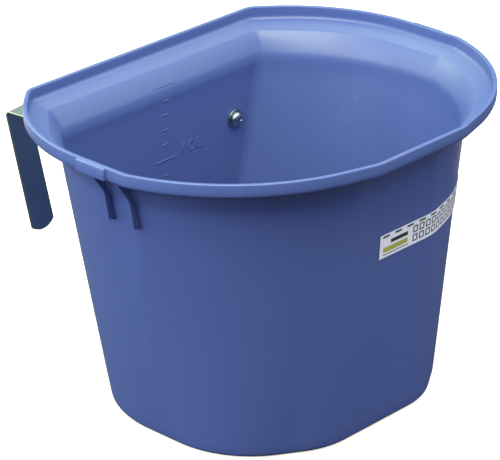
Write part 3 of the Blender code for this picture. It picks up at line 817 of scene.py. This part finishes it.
def strip_line():
    """Middle line of the strip as (point, direction, end bulge) in the (y, z) plane."""
    half = STRIP_THICKNESS / 2
    radius = BEND_RADIUS + half
    riser_y = BACK_FACE + FACE_GAP + half
    along_top = Vector((math.cos(TOP_FALL), -math.sin(TOP_FALL)))
    down_leg = Vector((-math.sin(LEG_LEAN), -math.cos(LEG_LEAN)))
    top_out = Vector((-along_top.y, along_top.x))
    leg_out = Vector((-down_leg.y, down_leg.x))
    back = OUTER_BEND - (top_out + leg_out) * half / (1 + top_out.dot(leg_out))
    front = back - along_top * (back.x - riser_y) / along_top.x
    foot = Vector((riser_y, SCREW_Z - RISER_BELOW_SCREW))
    tip = back + down_leg * LEG_LENGTH
    line = [(foot, Vector((0, 1)), -1)]
    for before, here, after in ((foot, front, back), (front, back, tip)):
        into = (here - before).normalized()
        away = (after - here).normalized()
        turn = into.angle(away)
        inward = Vector((into.y, -into.x))
        centre = here - into * radius * math.tan(turn / 2) + inward * radius
        for k in range(BEND_STEPS + 1):
            a = turn * k / BEND_STEPS
            direction = into * math.cos(a) + inward * math.sin(a)
            line.append((centre + (into * math.sin(a) - inward * math.cos(a)) * radius, direction, 0))
    line.append((tip, (tip - back).normalized(), 1))
    return line


def make_hook(name, x, turn):
    """Bent strip with arched ends, broken edges and its screw hole, turned about its screw."""
    columns = 24
    end_radius = (STRIP_WIDTH ** 2 / 4 + END_BULGE ** 2) / (2 * END_BULGE)
    bm = bmesh.new()
    front, back = [], []
    for point, direction, bulge in strip_line():
        out = Vector((-direction.y, direction.x)) * STRIP_THICKNESS / 2
        rows = ([], [])
        for k in range(columns + 1):
            across = STRIP_WIDTH * (k / columns - 0.5)
            extra = (math.sqrt(end_radius ** 2 - across ** 2) - end_radius) * bulge
            here = point + direction * extra
            for row, place in zip(rows, (here + out, here - out)):
                row.append(bm.verts.new((across, place.x, place.y)))
        front.append(rows[0])
        back.append(rows[1])
    slab(bm, front, back)
    hook = mesh_object(name, bm)
    bevel(hook, STRIP_EDGE, 2, 60)
    y = BACK_FACE + FACE_GAP
    profile = [
        (HOLE_RADIUS + 2 * HOLE_EDGE, y - HOLE_EDGE), (HOLE_RADIUS, y + HOLE_EDGE),
        (HOLE_RADIUS, y + STRIP_THICKNESS - HOLE_EDGE),
        (HOLE_RADIUS + 2 * HOLE_EDGE, y + STRIP_THICKNESS + HOLE_EDGE),
    ]
    combine(hook, turned("hook_hole", profile, (0.0, 0.0, SCREW_Z)), "DIFFERENCE")
    swing = Matrix.Translation((x, 0.0, SCREW_Z)) @ Matrix.Rotation(turn, 4, "Y")
    hook.data.transform(swing @ Matrix.Translation((0.0, 0.0, -SCREW_Z)))
    shade_smooth(hook.data)
    return hook


for (side, x), turn in zip(SIDES, (LEFT_TURN, 0.0)):
    hook = make_hook(side + "_strip_hook", x, turn)
    settle(hook, side + "_hanger", (side + "_hook",), strip_steel)

# %% [markdown]
# ## Screws
#
# Each hook turns on an M6 pan head screw. Its head is inside the tub on a wide washer. The thread is made
# the way a lathe cuts it: walking along the shank in small steps, the radius at each angle depends on how
# far the helix has advanced there. The cross recess is two tapered slots, cut away with a Boolean.

# %% Screws
WASHER = 1.6 * MM
NUT_HEIGHT = 5.0 * MM
COLLAR_HEIGHT = 2.0 * MM
HEAD_RADIUS = 6.25 * MM
HEAD_HEIGHT = 4.6 * MM
CROWN_RADIUS = 1.9 * MM
HEAD_BAND = 1.2 * MM
HEAD_EDGE = 0.35 * MM
HEAD_STEPS = 9
PITCH = 1.0 * MM
THREAD_DEPTH = 0.45 * MM
THREAD_FADE = 0.8 * MM
SCREW_POINT = 2.5 * MM
SCREW_STEPS = 36
ROWS_PER_PITCH = 7
RECESS_TURN = math.radians(28)
SEAT = BACK_FACE - WALL - 2 * FACE_GAP - WASHER
NUT_START = BACK_FACE + 3 * FACE_GAP + STRIP_THICKNESS + WASHER
SCREW_LENGTH = NUT_START + NUT_HEIGHT + COLLAR_HEIGHT + SCREW_POINT - SEAT


def thread_radius(y, angle):
    """Radius of an M6 thread at a place along the screw and round it."""
    phase = (y / PITCH - angle / (2 * math.pi)) % 1.0
    ridge = 1 - abs(2 * phase - 1)
    fade = min(1.0, max(0.0, (SCREW_LENGTH - y) / THREAD_FADE), max(0.0, (y - PITCH) / THREAD_FADE))
    cut = THREAD_DEPTH * (1 - min(1.0, max(0.0, (ridge - 0.15) / 0.65)))
    point = max(0.0, y - (SCREW_LENGTH - THREAD_FADE)) * 0.7
    return SCREW_RADIUS - cut * fade - point


def make_screw(name, x):
    """Pan head screw with a cross recess and a helical thread."""
    bm = bmesh.new()
    profile = [(CROWN_RADIUS * 0.5, -HEAD_HEIGHT), (CROWN_RADIUS, -HEAD_HEIGHT)]
    for k in range(1, HEAD_STEPS + 1):
        a = math.pi / 2 * k / HEAD_STEPS
        radius = CROWN_RADIUS + (HEAD_RADIUS - CROWN_RADIUS) * math.sin(a)
        profile.append((radius, -HEAD_BAND - (HEAD_HEIGHT - HEAD_BAND) * math.cos(a)))
    profile += [(HEAD_RADIUS, -HEAD_EDGE), (HEAD_RADIUS - HEAD_EDGE, 0.0), (SCREW_RADIUS, 0.0)]
    rows = [ring_of(bm, y, [radius] * SCREW_STEPS) for radius, y in profile]
    count = int(SCREW_LENGTH / PITCH * ROWS_PER_PITCH)
    for i in range(1, count + 1):
        y = SCREW_LENGTH * i / count
        rows.append(ring_of(bm, y, [thread_radius(y, a) for a in turns(SCREW_STEPS)]))
    skin(bm, rows)
    screw = mesh_object(name, bm)

    bm = bmesh.new()
    span, width = 3.0 * MM, 0.55 * MM
    quarter_cross = [(-width, -span), (width, -span), (width, -width)]
    cross = []
    for k in range(4):
        c, s = round(math.cos(math.pi / 2 * k)), round(math.sin(math.pi / 2 * k))
        cross += [(px * c - pz * s, px * s + pz * c) for px, pz in quarter_cross]
    ends = []
    for y, scale in ((-HEAD_HEIGHT * 1.2, 1.05), (-HEAD_HEIGHT + 2.2 * MM, 0.55)):
        ends.append([bm.verts.new((px * scale, y, pz * scale)) for px, pz in cross])
    skin(bm, ends)
    tool = mesh_object("recess", bm)
    tool.data.transform(Matrix.Rotation(RECESS_TURN, 4, "Y"))
    combine(screw, tool, "DIFFERENCE")
    screw.data.transform(Matrix.Translation((x, SEAT, SCREW_Z)))
    shade_smooth(screw.data)
    return screw


for side, x in SIDES:
    settle(make_screw(side + "_pan_head_screw", x), "bucket", (side + "_screw",), bright_zinc)

# %% [markdown]
# ## Washers and nuts
#
# Washers are stamped, so one edge is rounded and the other has a slight burr; a small bevel on all edges is
# close enough at this size. The lock nut is a hexagon whose corners are cut back by a turning tool, and it
# ends in a round collar that grips a nylon ring. To cut the corners, each ring of points takes the smaller
# of two radii: that of the hexagon and that of the cone.

# %% Washers
HEAD_WASHER_RADIUS = 8.4 * MM
NUT_WASHER_RADIUS = 6.25 * MM
WASHER_EDGE = 0.28 * MM
WASHER_STEPS = 64

for side, x in SIDES:
    for kind, radius, start in (
        ("head_washer", HEAD_WASHER_RADIUS, BACK_FACE - WALL - FACE_GAP - WASHER),
        ("nut_washer", NUT_WASHER_RADIUS, BACK_FACE + 2 * FACE_GAP + STRIP_THICKNESS),
    ):
        profile = [(HOLE_RADIUS, 0.0), (radius, 0.0), (radius, WASHER), (HOLE_RADIUS, WASHER)]
        place = (x, start, SCREW_Z)
        washer = turned(f"{side}_{kind}_flat", profile, place, WASHER_STEPS, ends=False)
        bevel(washer, WASHER_EDGE, 3, 50)
        settle(washer, "bucket", (f"{side}_{kind}",), bright_zinc)

# %% Lock nuts
FLAT = 5.0 * MM
CORNER = FLAT / math.cos(math.pi / 6)
NUT_STEPS = 72
NYLON_CLOUD = 10 / 9 * MM
NYLON_BORE = 3.02 * MM
NYLON_RADIUS = 3.72 * MM


def nut_ring(bm, limit, y):
    """Ring of points round a hexagon, none further out than a limit."""
    insides = [a % (math.pi / 3) - math.pi / 6 for a in turns(NUT_STEPS)]
    return ring_of(bm, y, [min(FLAT / math.cos(inside), limit) for inside in insides])


def make_nut(name, place):
    """Hexagon lock nut with turned corners and a collar."""
    bm = bmesh.new()
    collar = FLAT * 0.92
    levels = [
        (HOLE_RADIUS + 0.35 * MM, 0.0), (FLAT * 0.97, 0.0), (FLAT * 1.06, 0.25 * MM), (CORNER, 0.55 * MM),
        (CORNER, NUT_HEIGHT - 0.75 * MM), (FLAT * 1.07, NUT_HEIGHT - 0.3 * MM), (FLAT * 0.98, NUT_HEIGHT),
        (collar, NUT_HEIGHT + 0.15 * MM), (collar, NUT_HEIGHT + 1.3 * MM),
        (collar * 0.96, NUT_HEIGHT + 1.75 * MM), (collar * 0.88, NUT_HEIGHT + COLLAR_HEIGHT),
        (3.9 * MM, NUT_HEIGHT + COLLAR_HEIGHT), (3.75 * MM, NUT_HEIGHT + COLLAR_HEIGHT - 0.25 * MM),
        (3.75 * MM, NUT_HEIGHT + 0.4 * MM), (HOLE_RADIUS, NUT_HEIGHT + 0.4 * MM), (HOLE_RADIUS, 0.35 * MM),
    ]
    skin(bm, [nut_ring(bm, limit, y) for limit, y in levels], ends=False)
    nut = mesh_object(name, bm, math.radians(24))
    nut.data.transform(Matrix.Translation(place))
    return nut


def nylon():
    """Milky nylon, slightly cloudy."""
    material, tree, coords = new_material("nylon_ring_moulded_natural")
    colour = clouded(tree, coords, NYLON_CLOUD, "#d9dad6", "#e6e6e1", Detail=2.0)[1]
    shader = add_node(tree, "ShaderNodeBsdfPrincipled", Base_Color=colour, Roughness=0.45)
    return surfaced(material, shader)


nylon_ring = nylon()
for side, x in SIDES:
    place = (x, NUT_START, SCREW_Z)
    settle(make_nut(side + "_lock_nut", place), "bucket", (side + "_nut",), bright_zinc)
    low, high = NUT_HEIGHT + 0.45 * MM, NUT_HEIGHT + COLLAR_HEIGHT - 0.35 * MM
    profile = [(NYLON_BORE, low), (NYLON_RADIUS, low), (NYLON_RADIUS, high), (NYLON_BORE, high)]
    ring = turned(side + "_nylon_ring", profile, place, ends=False)
    settle(ring, "bucket", (side + "_nut",), nylon_ring)

# %% [markdown]
# ## Label
#
# A sticker wraps the front right corner. Its print is drawn by the material, from coordinates in
# millimetres that are stored on the mesh: across is the distance along the label from its left end, and up
# is the height above its lower edge. The sticker is a plain one to write on: a row of dashes along the top,
# an olive bar with a dark one above it and a thin line below, and two rows of boxes for writing in.

# %% Label material
FILM_MOTTLE = 100 / 26 * MM
DASH_PITCH = 14.9
DASH_START = 2.6
SOFT_EDGE = 0.12
BOX_PITCH = 8.0


def joined(tree, settings, masks):
    """One mask from several, joined one after the other."""
    result = masks[0]
    for mask in masks[1:]:
        result = add_node(tree, "ShaderNodeMath", settings, _0=result, _1=mask).outputs[0]
    return result


def all_of(tree, *masks):
    """Where every mask is 1."""
    return joined(tree, MULTIPLY, masks)


def any_of(tree, *masks):
    """Where at least one mask is 1."""
    return joined(tree, {"operation": "MAXIMUM"}, masks)


def inside(tree, *ranges):
    """Where each value lies between its two limits, with soft edges."""
    masks = []
    for value, low, high in ranges:
        for edge, ends in ((low, {}), (high, {"To_Min": 1.0, "To_Max": 0.0})):
            soft = {"From_Min": edge - SOFT_EDGE, "From_Max": edge + SOFT_EDGE}
            masks.append(add_node(tree, "ShaderNodeMapRange", Value=value, **soft, **ends).outputs["Result"])
    return all_of(tree, *masks)


def printed_film():
    """Pale sticker film with a printed pattern, slightly glossy, with faint unevenness."""
    material, tree, coords = new_material("sticker_film_printed_satin")
    uv = add_node(tree, "ShaderNodeUVMap", {"uv_map": "millimetres"}).outputs["UV"]
    split = add_node(tree, "ShaderNodeSeparateXYZ", Vector=uv)
    across, up = split.outputs["X"], split.outputs["Y"]
    shifted = add_node(tree, "ShaderNodeMath", {"operation": "SUBTRACT"}, _0=across, _1=DASH_START).outputs[0]
    in_pitch = add_node(
        tree, "ShaderNodeMath", {"operation": "FLOORED_MODULO"}, _0=shifted, _1=DASH_PITCH
    ).outputs[0]
    dashes = inside(tree, (in_pitch, 0.3, 8.4), (up, 17.9, 19.7), (across, 2.0, 146.0))
    in_box = add_node(
        tree, "ShaderNodeMath", {"operation": "FLOORED_MODULO"}, _0=across, _1=BOX_PITCH
    ).outputs[0]
    grids = []
    for low, high in ((10.4, 16.6), (2.6, 8.8)):
        uprights = inside(tree, (in_box, 0.3, 1.7), (up, low, high))
        lines = any_of(tree, inside(tree, (up, low, low + 1.2)), inside(tree, (up, high - 1.2, high)))
        part = all_of(tree, inside(tree, (in_box, 0.3, 6.4)), any_of(tree, uprights, lines))
        end = inside(tree, (in_box, 5.0, 6.4), (up, low, high))
        grids.append(all_of(tree, any_of(tree, part, end), inside(tree, (across, 39.5, 143.0))))
    rule = inside(tree, (across, 4.0, 35.0), (up, 2.2, 3.0))
    title = inside(tree, (across, 13.0, 34.0), (up, 11.2, 14.6))
    ink = any_of(tree, dashes, rule, title, *grids)
    bar = inside(tree, (across, 4.0, 34.0), (up, 4.6, 9.0))
    mottle, film = clouded(tree, coords, FILM_MOTTLE, "#d8cfe6", "#e0d8ec", Detail=2.0)
    with_bar = add_node(tree, "ShaderNodeMix", RGBA, _0=bar, _6=film, _7=linear("#9c9a45")).outputs[2]
    colour = add_node(tree, "ShaderNodeMix", RGBA, _0=ink, _6=with_bar, _7=linear("#1b2a24")).outputs[2]
    roughness = add_node(tree, "ShaderNodeMapRange", Value=mottle, To_Min=0.34, To_Max=0.44).outputs["Result"]
    shader = add_node(tree, "ShaderNodeBsdfPrincipled", Base_Color=colour, Roughness=roughness)
    return surfaced(material, shader)


film = printed_film()
print("made", film.name)

# %% [markdown]
# The sticker follows the wall. At each height the wall's outline is measured off along its length, so the
# film keeps its own length round the corner, and the print isn't stretched.

# %% Label
LABEL_HEIGHT = 20.8 * MM
LABEL_TOP = TUB_HEIGHT - 82.8 * MM
LABEL_START_X = -15.3 * MM
LABEL_LENGTH = 150 * MM
LABEL_GAP = 0.4 * MM
LABEL_THICKNESS = 0.3 * MM


def along_wall(z, outward, distances):
    """Points at distances along the wall from the label's left end, at a height."""
    points = [Vector(p) for p in outline(shrink_plan(wall_plan(z), -outward))]
    half = points[:len(points) // 2 + 1][::-1]
    line = [Vector((LABEL_START_X, half[0].y))] + half
    found = []
    walked, k = 0.0, 0
    for distance in distances:
        while k < len(line) - 2 and walked + (line[k + 1] - line[k]).length < distance:
            walked += (line[k + 1] - line[k]).length
            k += 1
        step = (line[k + 1] - line[k]).length
        point = line[k].lerp(line[k + 1], (distance - walked) / step)
        found.append(Vector((point.x, point.y, z)))
    return found


COLUMNS, ROWS = 100, 4
distances = [LABEL_LENGTH * k / COLUMNS for k in range(COLUMNS + 1)]
heights = [LABEL_TOP - LABEL_HEIGHT * (1 - k / ROWS) for k in range(ROWS + 1)]
bm = bmesh.new()
layer = bm.loops.layers.uv.new("millimetres")
grids = []
for outward in (LABEL_GAP, LABEL_GAP + LABEL_THICKNESS):
    grids.append([[bm.verts.new(p) for p in along_wall(z, outward, distances)] for z in heights])
places = {}
for grid in grids:
    for row, z in zip(grid, heights):
        for vertex, distance in zip(row, distances):
            places[vertex] = (distance / MM, (z - heights[0]) / MM)
slab(bm, *grids)
for face in bm.faces:
    for loop in face.loops:
        loop[layer].uv = places[loop.vert]
label = mesh_object("label_printed", bm)
settle(label, "bucket", ("label",), film)

# %% [markdown]
# ## Studio
#
# The bucket stands on a plain floor in front of a white backdrop. The camera sees both as white, with the
# bucket's soft shadow on the floor. To the plastic the floor is dark, as a dark bench would be, so that the
# underside of the flange falls into deep shade. Part of it, behind the tub as the camera sees it, is bright
# to mirrored light alone, like a white sheet: the wall's right-hand edge mirrors it as a pale band. Large
# soft lamps stand all round. The strongest hangs high on the camera's side, and its light falls into the
# tub and on the flange.

# %% Floor
SHEET_LIGHT = 1.5
SHEET_AHEAD = (0.78, 0.62, 0.0)
SHEET_SIDEWAYS = (0.62, -0.78, 0.0)
FLOOR_SPECK = 50 / 3 * MM
FLOOR_GLOW = 0.72
FLOOR_HALF = 8.0
FLOOR_DROP = 0.5 * MM


def pale_floor():
    """Floor that the camera sees as white with a shadow, and that throws little light back up."""
    material, tree, coords = new_material("studio_floor_matt")
    path = add_node(tree, "ShaderNodeLightPath")
    shade = clouded(tree, coords, FLOOR_SPECK, "#b4b5ba", "#b8b9be")[1]
    matt = add_node(tree, "ShaderNodeBsdfDiffuse", Color=shade)
    glow = add_node(tree, "ShaderNodeEmission", Color=linear("#fff6e4"), Strength=FLOOR_GLOW)
    seen_floor = add_node(tree, "ShaderNodeAddShader", _0=matt.outputs[0], _1=glow.outputs[0])
    dark = add_node(tree, "ShaderNodeBsdfDiffuse", Color=linear("#40393a"))
    across = add_node(
        tree, "ShaderNodeVectorMath", {"operation": "DOT_PRODUCT"}, _0=coords, _1=SHEET_AHEAD
    ).outputs["Value"]
    sheet = add_node(
        tree, "ShaderNodeMapRange", Value=across, From_Min=0.37, From_Max=0.50, To_Max=SHEET_LIGHT
    ).outputs["Result"]
    along = add_node(
        tree, "ShaderNodeVectorMath", {"operation": "DOT_PRODUCT"}, _0=coords, _1=SHEET_SIDEWAYS
    ).outputs["Value"]
    sheet_end = add_node(
        tree, "ShaderNodeMapRange", Value=along, From_Min=0.24, From_Max=0.42, To_Min=1.0, To_Max=0.0
    ).outputs["Result"]
    sheet_part = all_of(tree, sheet, sheet_end)
    sheet_seen = all_of(tree, sheet_part, path.outputs["Is Glossy Ray"])
    sheet_glow = add_node(tree, "ShaderNodeEmission", Color=linear("#fbfaf6"), Strength=sheet_seen)
    dark_floor = add_node(tree, "ShaderNodeAddShader", _0=dark.outputs[0], _1=sheet_glow.outputs[0])
    shader = add_node(
        tree, "ShaderNodeMixShader",
        _0=path.outputs["Is Camera Ray"], _1=dark_floor.outputs[0], _2=seen_floor.outputs[0],
    )
    return surfaced(material, shader)


bm = bmesh.new()
bmesh.ops.create_grid(bm, x_segments=1, y_segments=1, size=FLOOR_HALF)
floor = mesh_object("studio_floor", bm)
floor.location.z = -FLOOR_DROP
floor.data.materials.append(pale_floor())
print("floor at", floor.location.z)

# %% [markdown]
# To the camera the surround is white. To everything else it is a weaker, bluish light from all round, as
# from an open sky.

# %% Surround
AMBIENT = 0.55

world = bpy.data.worlds.new("studio_surround")
bpy.context.scene.world = world
world.use_nodes = True
tree = world.node_tree
tree.nodes.clear()
path = add_node(tree, "ShaderNodeLightPath")
white = add_node(tree, "ShaderNodeBackground", Color=(1, 1, 1, 1), Strength=1.0)
soft = add_node(tree, "ShaderNodeBackground", Color=linear("#afcbff"), Strength=AMBIENT)
surround = add_node(
    tree, "ShaderNodeMixShader",
    _0=path.outputs["Is Camera Ray"], _1=soft.outputs[0], _2=white.outputs[0],
)
add_node(tree, "ShaderNodeOutputWorld", Surface=surround.outputs[0])
print("surround lights at", AMBIENT)

# %% [markdown]
# Each lamp is a soft square panel. Its place is given as a direction round the tub, in degrees from +X
# towards +Y, and a height angle. Powers and tints were fitted to the photograph.

# %% Lamps
PANEL_SIZE = 1.7
PANEL_DISTANCE = 2.2
TUB_MIDDLE = Vector((0.0, 0.0, 0.17))


def soft_panel(name, round_angle, height_angle, power, colour):
    """Square area lamp that faces the tub from a direction."""
    lamp = bpy.data.lights.new(name, "AREA")
    lamp.size = PANEL_SIZE
    lamp.energy = power
    lamp.color = linear(colour)[:3]
    holder = new_object(name, lamp)
    a, e = math.radians(round_angle), math.radians(height_angle)
    away = Vector((math.cos(a) * math.cos(e), math.sin(a) * math.cos(e), math.sin(e)))
    holder.location = TUB_MIDDLE + away * PANEL_DISTANCE
    holder.rotation_euler = away.to_track_quat("Z", "Y").to_euler()


soft_panel("panel_high_camera_side", -136, 64, 84, "#faffcc")
soft_panel("panel_high_right", -50, 60, 26, "#fffcf0")
soft_panel("panel_left", 178, 36, 39, "#fbfff0")
soft_panel("panel_low_front_right", -46, 14, 25, "#e6fff0")
soft_panel("panel_low_behind", 110, 12, 48, "#edffc6")
soft_panel("panel_high_side_right", 5, 48, 18, "#f2ffb8")
soft_panel("panel_high_behind", 85, 50, 35, "#efffb0")
soft_panel("panel_low_behind_left", 155, 12, 30, "#e8fff8")

bpy.context.scene.view_settings.view_transform = "Standard"
